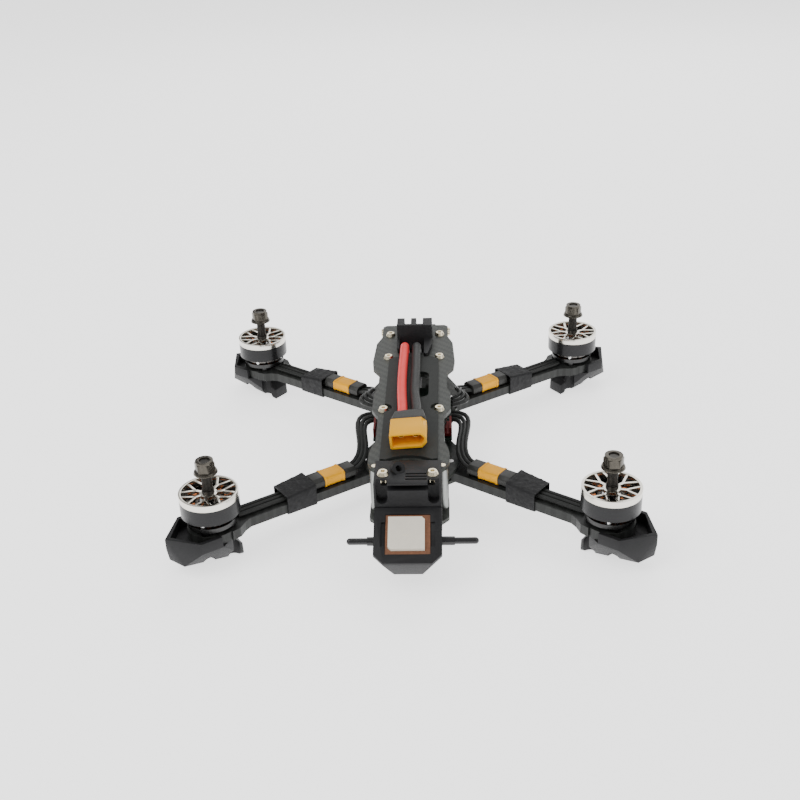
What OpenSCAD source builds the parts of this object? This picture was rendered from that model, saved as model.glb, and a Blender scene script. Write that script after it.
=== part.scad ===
// Four-rotor aircraft with a four-in-one speed controller in its stack.
// The origin is the centre of the belly plate's lower face, midway between the four rotors.
// +X is the right side, +Y is the nose and +Z is up. Sizes are in millimetres.

/* [Airframe] */
// Distance between the left and right rotor axes
motor_spacing_x = 190.4; // [160:0.1:230]
// Distance between the front and rear rotor axes
motor_spacing_y = 177.2; // [150:0.1:214]
// Distance from the centre to the point where an arm's axis crosses the centreline
arm_root_y = 22; // [20:0.5:24]
// Width of an arm
arm_w = 13.4; // [11:0.1:14]
// Thickness of an arm
arm_t = 5; // [3:0.5:7]
// Thickness of the belly plate, the mid plate and the top plate
plate_t = 2; // [1.5:0.1:3]
// Height of the standoffs between the mid plate and the top plate
standoff_h = 22; // [21:0.5:30]
// Outside radius of a standoff
standoff_r = 2.5; // [2.2:0.1:3]
// Half the distance between the left and right rows of standoffs
standoff_x = 14.5; // [13.5:0.1:16]

/* [Top plate] */
// Distance from the centre to the nose edge of the top plate
nose_y = 84; // [82:0.5:90]
// Distance from the centre to the tail edge of the top plate
tail_y = 92; // [91:0.5:96]
// Half the width of the top plate at its waist
waist_x = 17; // [16.5:0.1:19]
// Half the width of the top plate at its hump
hump_x = 23.2; // [20:0.1:25]

/* [Motors] */
// Outside radius of a rotor
rotor_r = 14.3; // [13:0.1:16]
// Height of the black magnet can
can_h = 7.8; // [7:0.1:11]
// Gap between an arm and the lower edge of the magnet can
can_lift = 7.6; // [6:0.1:8.6]
// Thickness of the steel ring and its magnets
can_wall = 2.8; // [2.2:0.1:3.4]
// Air gap between the stator and the magnets
air_gap = 0.5; // [0.3:0.05:0.8]
// Radius of the steel shaft in its bearings
shaft_r = 2; // [1.5:0.1:2.4]
// Radius of the threaded prop end of the shaft
thread_r = 2.5; // [2.2:0.1:3]
// Height of the bell's rim above the magnet can
bell_h = 3.4; // [3:0.1:5]
// Number of forked spokes in a bell
spokes = 7; // [5:1:9]
// Radius of the circle that the motor screws lie on
motor_bolt_r = 9.5; // [8:0.1:10.2]
// Running clearance of the shaft in its bearings
shaft_gap = 0.05; // [0.02:0.01:0.09]

/* [Feet] */
// Height of the belly plate above the ground
belly_h = 12.4; // [9:0.1:20]
// Distance from the rotor axis to the point of a foot
foot_reach = 24.6; // [21:0.1:30]
// Half the width of a foot
foot_half_w = 14.4; // [14:0.1:17]
// Wall thickness of a foot
foot_wall = 2; // [1.5:0.1:2.4]

/* [Stack] */
// Distance between the stack's screw holes
stack_pitch = 30.5; // [29:0.1:31]
// Width of the speed controller board
esc_w = 42; // [39:0.5:44]
// Length of the speed controller board
esc_l = 42; // [38:0.5:42]
// Height of the rubber dampers under the speed controller
damper_h = 3.5; // [2.5:0.1:4]
// Height of the heat sink
sink_h = 4.8; // [3:0.1:6]

/* [Leads] */
// Diameter of a battery lead
lead_d = 5; // [3.6:0.1:5.2]
// Diameter of a motor wire
wire_d = 2.4; // [1.8:0.1:2.5]
// Width of the battery plug
plug_w = 17.8; // [15:0.1:19]
// Height of the battery plug
plug_h = 8.2; // [7.5:0.1:9]
// Length of the amber part of the battery plug
plug_l = 16; // [14:0.5:18]

/* [Arm connectors] */
// Width of the connector on an arm
conn_w = 9.8; // [9:0.1:12.4]
// Height of the connector on an arm
conn_h = 6; // [5:0.1:7.5]
// Length of the amber part of the connector
conn_l = 11.5; // [10:0.5:15]
// Length of the grey cap at each end of the connector
conn_cap = 6.5; // [5:0.5:9]

/* [Action camera mount] */
// Width of the gap between two prongs
prong_gap = 3.9; // [3.2:0.1:4]
// Radius of the pivot hole through the prongs
prong_hole_r = 2.55; // [2.1:0.05:3]
// Height of the pivot hole above the top plate
prong_axis_h = 4.3; // [4.2:0.1:6]

/* [Positioning unit] */
// Tilt of the positioning unit from level
gps_tilt = 26; // [10:1:40]
// Width and length of the positioning board
gps_board_w = 20.6; // [18:0.1:24]
// Width and length of the ceramic patch
gps_patch_w = 16.8; // [12:0.1:17.5]

/* [Video camera] */
// Width of the video camera's body
cam_w = 19; // [17:0.5:20]
// Height of the video camera's body
cam_h = 16; // [13:0.5:16.5]

/* [Hidden] */
$fn = 48;
fit = 0.1;
m3_r = 1.5;
m3_hole = m3_r + fit;
head_r = 2.85;
head_h = 1.65;
hex_r = 1.15;
hex_deep = 1.1;

// Heights of the faces, from the belly up
arm_z = plate_t;
mid_z = arm_z + arm_t;
deck_z = mid_z + plate_t;
roof_z = deck_z + standoff_h;
top_z = roof_z + plate_t;
ground_z = -belly_h;

// Arms, as seen from the front right one
mx = motor_spacing_x / 2;
my = motor_spacing_y / 2;
arm_len = norm([mx, my - arm_root_y]);
arm_angle = atan2(my - arm_root_y, mx);
arm_top = mid_z;
pad_r = foot_half_w - foot_wall - 2 * fit;
arm_gap = 0.5;
flare_w = pad_r - 0.1 - arm_w / 2;
FLARE = [[17, 0], [13.5, 0.28], [9.5, 0.85], [5, 1]];
ARMS = [[1, 1], [-1, 1], [-1, -1], [1, -1]];

// Places along an arm, measured from the centreline
bolt_near = 8.5;
bolt_far = 24.5;
conn_near = 38;
conn_mid = conn_near + conn_cap;
conn_far = conn_mid + conn_l;
conn_end = conn_far + conn_cap;
sleeve_end = conn_end + 16.5;

// Standoff places on the right side, from the nose to the tail
post_1 = [standoff_x, 70];
post_2 = [standoff_x, 39];
post_3 = [standoff_x, -24];
post_4 = [standoff_x + 1.7, -79.5];
tail_screw = [11.6, -90];
POSTS = [post_1, post_2, post_3, post_4];

// Battery pad
pad_w = 27.8;
pad_t = 1.5;
pad_nose = 37;
pad_top = top_z + pad_t;
tail_arc_r = 17.4;

// Motor heights above the arm
can_low = arm_top + can_lift;
can_high = can_low + can_h;
rim_z = can_high + bell_h;
hub_dip = 1.4;
crown_z = rim_z - hub_dip;
base_low = arm_top + 2.2;
base_high = base_low + 2.2;
stator_r = rotor_r - can_wall - air_gap;
bearing_r = 4.5;
bearing_h = 3.5;
hub_r = 5.3;
ring_w = 1.4;
nut_z = crown_z + 11.6;
nut_h = 6.6;
nut_flange_r = 5.8;
nut_hex_r = 4.85;
shaft_low = base_low + 0.6;

// Stack heights
esc_z = deck_z + damper_h;
board_t = 1.6;
esc_top = esc_z + board_t;
chip_h = 1.1;
sink_z = esc_top + chip_h;
fc_z = sink_z + sink_h + 2.5;
fc_w = 36;
stack_half = stack_pitch / 2;

// Phase wire pads on the speed controller, from the nose to the tail
pad_pitch = 4;
front_pads_y = 16;
rear_pads_y = 0;

// Battery plug: its centre, its nose end and its open end
plug_x = -0.3;
plug_roll = 4;
plug_cap_y = -41;
plug_cap_l = 10.5;
plug_nose_y = plug_cap_y - plug_cap_l;
plug_open_y = plug_nose_y - plug_l;
plug_z = pad_top + plug_h / 2 + plug_w / 2 * sin(plug_roll);
pin_x = 3.6;
pin_r = 1.75;
plug_wall = 1.1;
plug_deep = 11;
pin_recess = 6.5;
cap_socket = 3.1;

// Battery lead routes: out of the controller, round a bend, through the top plate and back to the plug
red_route = [
    [-5.3, 23, 17], [-5.3, 29, 16.4], [-5.3, 34, 15.8], [-5.3, 38.6, 15.4], [-5.3, 42.3, 15.2],
    [-5.3, 46.4, 16], [-5.3, 49.9, 18.4], [-5.3, 52.3, 21.9], [-5.3, 53.1, 26], [-5.3, 52.3, 30.2],
    [-5.3, 49.9, 33.9], [-5.3, 46.4, 36.4], [-5.3, 42.3, 37.2], [-5.3, 35, 37.3], [-5.4, 26, 37.3],
    [-5.5, 17, 37.3], [-5.5, 8, 37.3], [-5.4, -2, 37.3], [-5.1, -12, 37.4], [-4.7, -21, 37.9],
    [-4.2, -30, 38.6], [-3.9, -38, 39], [-3.9, -44, 39]
];
black_route = [
    [1.5, 23, 17], [1.5, 29, 16.4], [1.5, 34, 15.8], [1.5, 38.6, 15.4], [1.5, 42.3, 15.2],
    [1.5, 46.4, 16], [1.5, 49.9, 18.4], [1.5, 52.3, 21.9], [1.5, 53.1, 26], [1.5, 52.3, 30.2],
    [1.5, 49.9, 33.9], [1.5, 46.4, 36.4], [1.5, 42.3, 37.2], [1.5, 35, 37.3], [1.6, 26, 37.3],
    [1.7, 17, 37.3], [1.7, 8, 37.3], [1.6, -2, 37.3], [1.7, -12, 37.5], [2.2, -21, 38.1],
    [2.9, -30, 38.9], [3.3, -38, 39.5], [3.3, -44, 39.5]
];

// Action camera mount
prong_r = 6.5;
fork_wall_y = 59.2;
fork_wall_t = 2.2;
fork_base_t = 2;
prong_w = [4.2, 3, 5.4];
fork_w = prong_w[0] + prong_w[1] + prong_w[2] + 2 * prong_gap;
fork_axis_y = 69;

// Positioning unit: centre of its board's underside
gps_c = [0, -111.4, deck_z + 5.4];
gps_board_t = 1.2;
gps_patch_t = 2;
tab_t = 1.6;
cradle_half_w = 15.7;
cradle_up = 14;
cradle_down = 15;
cradle_deep = 12.5;
dipole_y = -109.5;
dipole_z = gps_c[2] - 4.2;
collar_r = 2.1;
dipole_r = 1.6;

// Video camera
cam_axis = [0, 90, deck_z + standoff_h / 2];
cam_deep = 13;
side_gap = 0.4;
side_x = cam_w / 2 + side_gap;
side_t = 2;
side_boss = [84.5, roof_z - 2.8];
side_boss_x = 19.2;
pivot_r = 1;

// Turns the front right quarter into the quarter q
module quarter(q)
    mirror([q[0] < 0 ? 1 : 0, 0, 0]) mirror([0, q[1] < 0 ? 1 : 0, 0]) children();

// Places children in an arm's frame: the rotor axis is the origin and +X points outwards
module on_arm(q)
    quarter(q) translate([mx, my, 0]) rotate(arm_angle) children();

// Places children on a rotor's axis
module on_rotor(q)
    translate([q[0] * mx, q[1] * my, 0]) children();

// Places children on both sides of the centreline
module both_sides() {
    children();
    mirror([1, 0, 0]) children();
}

module rod(r, low, high)
    translate([0, 0, low]) cylinder(r = r, h = high - low);

module tube(r_out, r_in, low, high)
    difference() {
        rod(r_out, low, high);
        rod(r_in, low - 1, high + 1);
    }

// Block from one corner to the other
module block(a, b)
    translate(a) cube(b - a);

// Socket head screw, head downwards when up is false
module button_screw(seat_z, length)
    difference() {
        union() {
            translate([0, 0, seat_z]) cylinder(r1 = head_r, r2 = head_r * 0.72, h = head_h);
            rod(m3_r, seat_z - length, seat_z + 0.1);
        }
        translate([0, 0, seat_z + head_h - hex_deep]) cylinder(r = hex_r, h = hex_deep + 1, $fn = 6);
    }

module flat_screw(low, high)
    difference() {
        union() {
            translate([0, 0, low]) cylinder(r1 = 3, r2 = m3_r, h = 1.5);
            rod(m3_r, low, high);
        }
        translate([0, 0, low - 1]) cylinder(r = hex_r, h = hex_deep + 1, $fn = 6);
    }

module flat_seat(low)
    translate([0, 0, low - 0.01]) cylinder(r1 = 3 + fit, r2 = m3_r + fit, h = 1.51);

// Points round a ring of the tube at p, square to the direction t
function cross_of(t, up) = let (n = cross(t, up)) n / norm(n);
function ring(p, t, up, r, sides) = let (
        n = cross_of(t, up),
        b = cross(n, t)
    ) [for (k = [0 : sides - 1]) p + r * (cos(360 * k / sides) * n + sin(360 * k / sides) * b)];
function along(pts, i) = let (
        a = pts[max(i - 1, 0)],
        c = pts[min(i + 1, len(pts) - 1)]
    ) (c - a) / norm(c - a);

// Tube swept along points
module sweep(pts, r, sides, up) {
    n = len(pts);
    rings = [for (i = [0 : n - 1]) each ring(pts[i], along(pts, i), up, r, sides)];
    walls = [for (i = [0 : n - 2], k = [0 : sides - 1]) let (
            a = i * sides + k,
            b = i * sides + (k + 1) % sides
        ) each [[a, b, a + sides], [b, b + sides, a + sides]]];
    first = [[for (k = [sides - 1 : -1 : 0]) k]];
    last = [[for (k = [0 : sides - 1]) (n - 1) * sides + k]];
    polyhedron(rings, concat(walls, first, last));
}

function bezier(a, b, c, d, steps) = [for (i = [0 : steps]) let (u = i / steps)
    pow(1 - u, 3) * a + 3 * pow(1 - u, 2) * u * b + 3 * (1 - u) * u * u * c + u * u * u * d];

// Point on an arm in the airframe's axes, at a distance q from the centreline and t to its left
function arm_point(q, t, z) = [
    q * cos(arm_angle) - t * sin(arm_angle),
    arm_root_y + q * sin(arm_angle) + t * cos(arm_angle),
    z
];

function arm_xy(q, t) = [for (k = [0, 1]) arm_point(q, t, 0)[k]];

// Screws that pass through the belly plate, the arms and the mid plate
module belly_bolt_places()
    for (q = ARMS) quarter(q) {
        translate(arm_point(bolt_near, 0, 0)) children();
        translate(arm_point(bolt_far, 0, 0)) children();
    }

module through_post_places()
    both_sides() {
        translate(post_2) children();
        translate(post_3) children();
    }

module end_post_places()
    both_sides() {
        translate(post_1) children();
        translate(post_4) children();
    }

module post_places() {
    through_post_places() children();
    end_post_places() children();
}

module stack_places()
    for (q = ARMS) translate([q[0] * stack_half, q[1] * stack_half, 0]) children();

module motor_screw_places()
    for (k = [0 : 3]) rotate(45 + 90 * k) translate([motor_bolt_r, 0, 0]) children();

// Outlines
module rounded(r) offset(r, $fn = 20) offset(-r) children();

module half_and_mirror(points) {
    polygon(points);
    mirror([1, 0]) polygon(points);
}

bolt_edge = arm_point(bolt_far, 0, 0)[0] + 4;
bolt_y = arm_point(bolt_far, 0, 0)[1];
plate_half = max(hump_x, bolt_edge);

module bottom_outline()
    rounded(2) half_and_mirror([
        [-0.1, 46], [11, 46], [standoff_x + 4.5, 45], [bolt_edge, bolt_y + 5], [bolt_edge, 26], [16, 12],
        [16, -12], [bolt_edge, -26], [bolt_edge, -bolt_y - 5], [standoff_x + 4.5, -45], [11, -46],
        [-0.1, -46]
    ]);

module mid_outline()
    rounded(2) half_and_mirror([
        [-0.1, 93], [12.5, 93], [13.5, 80], [standoff_x + 4.7, 76], [standoff_x + 4.7, 62],
        [plate_half, 50], [plate_half, 22], [20, 14], [20, -14], [plate_half, -22], [plate_half, -40],
        [standoff_x + 4.4, -52], [standoff_x + 4.4, -70], [post_4[0] + 3, -76], [post_4[0] + 3, -88],
        [12, -96], [-0.1, -96]
    ]);

module top_outline()
    rounded(1.6) half_and_mirror([
        [-0.1, nose_y], [standoff_x + 3, nose_y], [standoff_x + 4.9, nose_y - 2],
        [standoff_x + 4.9, 67], [hump_x - 1, 58], [hump_x, 34], [hump_x - 0.8, 25], [18.6, 18], [18.6, 1],
        [standoff_x + 6, -6], [standoff_x + 6, -24], [standoff_x + 3.8, -29], [waist_x, -31],
        [waist_x, -57], [post_4[0] + 2.4, -62], [post_4[0] + 3.4, -68], [post_4[0] + 3.4, -77],
        [post_4[0] + 1, -82], [tail_screw[0] + 3.9, -84], [tail_screw[0] + 3.9, -tail_y], [-0.1, -tail_y]
    ]);

module slot_2d(x0, x1, y0, y1) {
    r = (x1 - x0) / 2;
    hull() {
        translate([x0 + r, y0 + r]) circle(r);
        translate([x0 + r, y1 - r]) circle(r);
    }
}

// Strap slot through the top plate and its pad
module roof_slot() {
    translate([0, 0, top_z - 10]) linear_extrude(20) slot_2d(0.8, 8.8, -12.5, 17.5);
}

module lead_opening()
    block([red_route[0][0] - lead_d / 2 - 1.4, 45, top_z - 10],
          [black_route[0][0] + lead_d / 2 + 1.4, fork_wall_y + 1, top_z + 10]);

// Cut for the action camera mount in the nose of the top plate
module fork_opening()
    block([-fork_w / 2 - fit, fork_wall_y - fit, top_z - 10], [fork_w / 2 + fit, nose_y + 1, top_z + 10]);

// Plates
module bottom_plate()
    color([0.12, 0.12, 0.12])
    difference() {
        linear_extrude(plate_t) bottom_outline();
        belly_bolt_places() {
            rod(m3_hole, -1, plate_t + 1);
            flat_seat(0);
        }
        through_post_places() {
            rod(m3_hole, -1, plate_t + 1);
            flat_seat(0);
        }
    }

module mid_plate()
    color([0.12, 0.12, 0.12])
    difference() {
        translate([0, 0, mid_z]) linear_extrude(plate_t) mid_outline();
        belly_bolt_places() rod(m3_hole, mid_z - 1, deck_z + 1);
        post_places() rod(m3_hole, mid_z - 1, deck_z + 1);
        stack_places() rod(m3_hole, mid_z - 1, deck_z + 1);
    }

module top_plate()
    color([0.2, 0.21, 0.2])
    difference() {
        translate([0, 0, roof_z]) linear_extrude(plate_t) top_outline();
        translate([0, -tail_y, 0]) rod(tail_arc_r, roof_z - 1, top_z + 1);
        post_places() rod(m3_hole, roof_z - 1, top_z + 1);
        both_sides() translate(tail_screw) rod(m3_hole, roof_z - 1, top_z + 1);
        roof_slot();
        lead_opening();
        fork_opening();
    }

// One arm, in the airframe's axes, cut square to its neighbour at the centre
module arm_blank() {
    half_y = arm_w / 2 / cos(arm_angle);
    root_y = arm_root_y + arm_gap / 2 * tan(arm_angle);
    difference() {
        union() {
            translate([mx, my, 0]) rod(pad_r, arm_z, arm_top);
            translate([0, 0, arm_z]) linear_extrude(arm_t) polygon([
                [arm_gap / 2, root_y - half_y],
                for (p = FLARE) arm_xy(arm_len - p[0], -arm_w / 2 - p[1] * flare_w),
                for (k = [3 : -1 : 0]) arm_xy(arm_len - FLARE[k][0], arm_w / 2 + FLARE[k][1] * flare_w),
                [arm_gap / 2, root_y + half_y]
            ]);
        }
        translate([mx, my, 0]) {
            rotate(arm_angle) motor_screw_places() rod(m3_hole, arm_z - 1, arm_top + 1);
            rod(3, arm_z - 1, arm_top + 1);
        }
        translate(arm_point(bolt_near, 0, 0)) rod(m3_hole, arm_z - 1, arm_top + 1);
        translate(arm_point(bolt_far, 0, 0)) rod(m3_hole, arm_z - 1, arm_top + 1);
    }
}

module arm(q)
    color([0.1, 0.1, 0.1])
    difference() {
        quarter(q) arm_blank();
        through_post_places() rod(m3_hole, arm_z - 1, arm_top + 1);
    }

// Plates that hold the video camera between the mid plate and the top plate
module camera_side_plates()
    color([0.1, 0.1, 0.1])
    both_sides()
    difference() {
        union() {
            translate([side_x, 0, 0]) rotate([90, 0, 90]) linear_extrude(side_t) polygon([
                [79, deck_z], [93, deck_z], [96, deck_z + 3], [96, cam_axis[2] + 5],
                [90, roof_z], [79, roof_z]
            ]);
            translate([0, side_boss[0], side_boss[1]]) rotate([0, 90, 0])
                rod(2.6, side_x + 0.5, side_boss_x);
        }
        translate([0, cam_axis[1], cam_axis[2]]) rotate([0, 90, 0]) rod(pivot_r + 0.06, 0, 30);
        translate([0, side_boss[0], side_boss[1]]) rotate([0, 90, 0]) rod(m3_hole, 0, 30);
    }

module standoffs()
    color([0.62, 0.63, 0.65])
    post_places() tube(standoff_r, m3_hole - 0.05, deck_z, roof_z);

// Screws in the top plate, in the tail of the rear mount and in the bosses of the camera's side plates
module top_screws()
    color([0.8, 0.76, 0.62]) {
        both_sides() {
            translate(post_1) button_screw(top_z, 9);
            translate(post_2) button_screw(top_z, 9);
            translate(post_3) button_screw(top_z, 9);
            translate(tail_screw) button_screw(top_z + tab_t, 6.5);
            translate([0, side_boss[0], side_boss[1]]) rotate([0, 90, 0])
                button_screw(side_boss_x, side_boss_x - side_x - 0.4);
        }
        both_sides() translate(post_4) rod(m3_r, roof_z - 6, top_z - 0.1);
    }

// Screws in the belly, under the mid plate and under the motors
module underside_screws()
    color([0.55, 0.55, 0.56]) {
        belly_bolt_places() flat_screw(0, deck_z);
        through_post_places() flat_screw(0, deck_z + 6);
        end_post_places() mirror([0, 0, 1]) button_screw(-mid_z, 8);
        for (q = ARMS) on_arm(q) {
            for (a = [135, 225]) rotate(a) translate([motor_bolt_r, 0, 0])
                mirror([0, 0, 1]) button_screw(-arm_z, arm_t + 3.6);
            for (a = [45, -45]) rotate(a) translate([motor_bolt_r, 0, 0])
                mirror([0, 0, 1]) button_screw(-arm_z + 1.5, arm_t + 5.1);
        }
    }

module battery_pad()
    color([0.16, 0.17, 0.17])
    difference() {
        translate([-pad_w / 2, -tail_y, top_z]) cube([pad_w, tail_y + pad_nose, pad_t]);
        translate([0, -tail_y, 0]) rod(tail_arc_r + 1.6, top_z - 1, pad_top + 1);
        post_places() rod(4.4, top_z - 1, pad_top + 1);
        both_sides() translate([15, -87, 0]) rod(11, top_z - 1, pad_top + 1);
        roof_slot();
    }

// Stack
module stack_screws()
    color([0.6, 0.6, 0.6])
    stack_places() {
        mirror([0, 0, 1]) button_screw(-mid_z, fc_z + board_t + 4 - mid_z);
        difference() {
            translate([0, 0, fc_z + board_t]) cylinder(r = 2.9, h = 2.4, $fn = 6);
            rod(m3_hole - 0.05, fc_z, fc_z + 6);
        }
    }

module stack_dampers()
    color([0.08, 0.08, 0.08])
    stack_places() {
        tube(2.7, m3_hole, deck_z, esc_z);
        tube(2.7, m3_hole, esc_top, fc_z);
    }

module board(w, l, z, t)
    difference() {
        block([-w / 2, -l / 2, z], [w / 2, l / 2, z + t]);
        stack_places() rod(m3_hole, z - 1, z + t + 1);
    }

// Four-in-one speed controller
module esc_board()
    color([0.08, 0.1, 0.12]) {
        board(esc_w, esc_l, esc_z, board_t);
        both_sides() for (y0 = [front_pads_y, rear_pads_y], k = [-1 : 1])
            translate([esc_w / 2 - 1.7, y0 + k * pad_pitch, esc_top]) block([-1.4, -1.5, 0], [1.6, 1.5, 0.5]);
    }

module esc_mosfets()
    color([0.1, 0.1, 0.11])
    for (i = [-2 : 2], y = [-17.6, -11.2])
        translate([i * 4.9, y, esc_top]) block([-2.2, -2.9, 0], [2.2, 2.9, chip_h]);

module esc_heat_sink() {
    sink_low_y = -esc_l / 2;
    sink_high_y = -7.5;
    sink_half = esc_w / 2 - 0.2;
    color([0.4, 0.06, 0.08])
    difference() {
        block([-sink_half, sink_low_y, sink_z], [sink_half, sink_high_y, sink_z + sink_h]);
        for (i = [-7 : 7]) translate([i * 2.7, 0, 0])
            block([-0.75, sink_low_y - 1, sink_z + 1.6], [0.75, sink_high_y + 1, sink_z + sink_h + 1]);
        stack_places() rod(3, sink_z - 1, sink_z + sink_h + 1);
    }
}

module esc_capacitor()
    color([0.1, 0.1, 0.12])
    translate([-9, -esc_l / 2 - 7, deck_z + 5.2]) rotate([0, 90, 0]) {
        rod(5, 0, 18);
        rod(4.2, 18, 18.6);
    }

module flight_controller()
    color([0.05, 0.07, 0.1]) {
        board(fc_w, fc_w, fc_z, board_t);
        block([-5, -5, fc_z + board_t], [5, 5, fc_z + board_t + 1.2]);
        block([-11, 8, fc_z + board_t], [-5, 12, fc_z + board_t + 1.6]);
        block([-4, -17.5, fc_z + board_t], [4, -12, fc_z + board_t + 2.8]);
    }

module stack_cable()
    color([0.15, 0.15, 0.15])
    translate([6.5, 0, 0]) rotate([90, 0, 90]) linear_extrude(5.5) polygon([
        [fc_w / 2 - 5, fc_z - 1.1], [fc_w / 2 + 6, fc_z - 1.1], [fc_w / 2 + 6, esc_top + 1],
        [fc_w / 2 - 1, esc_top + 1], [fc_w / 2 - 1, esc_top], [fc_w / 2 + 7, esc_top],
        [fc_w / 2 + 7, fc_z], [fc_w / 2 - 5, fc_z]
    ]);

module video_transmitter()
    color([0.2, 0.2, 0.22])
    difference() {
        block([-13, -66, deck_z], [13, -40, deck_z + 8]);
        for (i = [-5 : 5]) translate([i * 2.2, 0, 0])
            block([-0.6, -63, deck_z + 6], [0.6, -43, deck_z + 9]);
    }

module radio_receiver()
    color([0.06, 0.12, 0.1]) {
        block([-6, -80, deck_z], [6, -68, deck_z + 1]);
        block([-4, -78, deck_z + 1], [4, -72, deck_z + 3.2]);
    }

// Video camera, tilting on two screws
module fpv_camera()
    color([0.08, 0.08, 0.08])
    translate(cam_axis) {
        difference() {
            block([-cam_w / 2, -cam_deep / 2, -cam_h / 2], [cam_w / 2, cam_deep / 2, cam_h / 2]);
            rotate([-90, 0, 0]) rod(6.2, cam_deep / 2 - 3, 20);
        }
        both_sides() rotate([0, 90, 0]) {
            rod(pivot_r, cam_w / 2 - 0.5, side_x + side_t + 1.2);
            rod(2, side_x + side_t + 0.3, side_x + side_t + 1.4);
        }
    }

module fpv_lens()
    color([0.04, 0.04, 0.05])
    translate(cam_axis) rotate([-90, 0, 0])
    difference() {
        union() {
            rod(6.1, cam_deep / 2 - 3, cam_deep / 2 + 2);
            rod(5.2, cam_deep / 2 + 2, cam_deep / 2 + 7);
        }
        rod(4.2, cam_deep / 2 + 5.5, cam_deep / 2 + 8);
    }

// Three-pronged mount for an action camera, held by collars on the two nose standoffs
module action_camera_fork() {
    axis_z = top_z + prong_axis_h;
    floor_z = axis_z - prong_r - 0.2;
    low_z = floor_z - fork_base_t;
    wall_top = axis_z + prong_r + 0.3;
    starts = [0, prong_w[0] + prong_gap, prong_w[0] + prong_w[1] + 2 * prong_gap];
    color([0.06, 0.06, 0.06])
    difference() {
        union() {
            for (k = [0 : 2]) translate([starts[k] - fork_w / 2, 0, 0]) {
                translate([0, fork_axis_y, axis_z]) rotate([0, 90, 0]) rod(prong_r, 0, prong_w[k]);
                block([0, fork_wall_y, low_z], [prong_w[k], fork_axis_y, axis_z + prong_r]);
                block([0, fork_wall_y, low_z], [prong_w[k], fork_axis_y + 5, axis_z]);
            }
            block([-fork_w / 2, fork_wall_y, low_z], [fork_w / 2, fork_wall_y + fork_wall_t, wall_top]);
            block([-fork_w / 2, fork_wall_y, low_z], [fork_w / 2, fork_axis_y + 5, floor_z]);
            both_sides() block([fork_w / 2 - 1, post_1[1] - 4.2, roof_z - 3],
                               [post_1[0] + 4.2, post_1[1] + 4.2, roof_z - 0.02]);
            translate([0, 0, top_z]) linear_extrude(3) polygon([
                [5.6, fork_wall_y + 1], [fork_w / 2, fork_wall_y + 1], [fork_w / 2, 53], [8.8, 44],
                [8, 39], [6.8, 37.6], [5.6, 39]
            ]);
            translate([0, 0, top_z]) linear_extrude(3) polygon([
                [-8.6, fork_wall_y + 1], [-fork_w / 2, fork_wall_y + 1], [-fork_w / 2, 52],
                [-9.4, 45], [-8.6, 45]
            ]);
        }
        translate([0, fork_axis_y, axis_z]) rotate([0, 90, 0]) rod(prong_hole_r, -20, 20);
        translate([fork_w / 2 - 2.4, fork_axis_y, axis_z]) rotate([0, 90, 0])
            cylinder(r = 4.7, h = 5, $fn = 6);
        both_sides() translate(post_1) rod(standoff_r + fit, roof_z - 5, roof_z + 1);
    }
}

// Cradle outline: w is half its width, c is the cut at its two lower corners
module cradle_outline(w, up, down, c)
    polygon([[-w, up], [w, up], [w, -down + c], [w - c, -down], [-w + c, -down], [-w, -down + c]]);

module in_cradle()
    translate(gps_c) rotate([gps_tilt, 0, 0]) children();

// Tail mount: a clamp on the top plate, a wall down to the mid plate and the positioning unit's cradle
module rear_mount() {
    bay_half = gps_board_w / 2 + 2.2;
    wall_y = [-99, -tail_y - fit];
    pocket_x = 12.2;
    color([0.06, 0.06, 0.06])
    difference() {
        union() {
            block([-cradle_half_w, -97, top_z], [cradle_half_w, -78, top_z + tab_t]);
            block([-cradle_half_w, wall_y[0], deck_z], [cradle_half_w, wall_y[1], top_z + tab_t]);
            hull() {
                in_cradle() translate([0, 0, -0.2]) linear_extrude(2)
                    cradle_outline(cradle_half_w, cradle_up, cradle_down, 4.5);
                in_cradle() translate([0, 0, 1.8 - cradle_deep]) linear_extrude(2)
                    cradle_outline(cradle_half_w - 0.6, cradle_up, cradle_down - 1, 8.5);
            }
            translate([-5.4, -86, top_z + 1]) rotate([38, 26, 0]) rod(3.2, -12, 3.4);
        }
        in_cradle() {
            block([-gps_board_w / 2 - fit, -gps_board_w / 2 - fit, 0],
                  [gps_board_w / 2 + fit, gps_board_w / 2 + fit, 12]);
            block([-gps_board_w / 2 + 1.5, -gps_board_w / 2 + 1.5, 3 - cradle_deep],
                  [gps_board_w / 2 - 1.5, gps_board_w / 2 - 1.5, 12]);
            block([-bay_half, -gps_board_w / 2 + 4, 0.6], [bay_half, gps_board_w / 2 - 4, 12]);
        }
        translate([0, -tail_y, 0]) rod(tail_arc_r - 4.6, roof_z, top_z + 0.8);
        translate([0, dipole_y, dipole_z]) rotate([0, 90, 0]) rod(collar_r + 0.05, -40, 40);
        both_sides() {
            translate(tail_screw) rod(m3_hole, roof_z - 10, top_z + 3);
            block([pocket_x - 2.8, wall_y[0] - 1, 26.5], [pocket_x + 2.5, wall_y[0] + 4.5, 34.8]);
            translate([pocket_x - 0.15, 0, 26.5]) rotate([-90, 0, 0])
                rod(2.65, wall_y[0] - 1, wall_y[0] + 4.5);
        }
        translate([-5.4, -86, top_z + 1]) rotate([38, 26, 0]) rod(1.5, -9, 6);
        for (k = [0 : 2]) block([-1, -95.4 + 2.4 * k, top_z + 1], [9, -94.2 + 2.4 * k, top_z + 3]);
    }
}

module gps_board()
    color([0.35, 0.18, 0.12])
    in_cradle() block([-gps_board_w / 2, -gps_board_w / 2, 0], [gps_board_w / 2, gps_board_w / 2, gps_board_t]);

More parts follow.
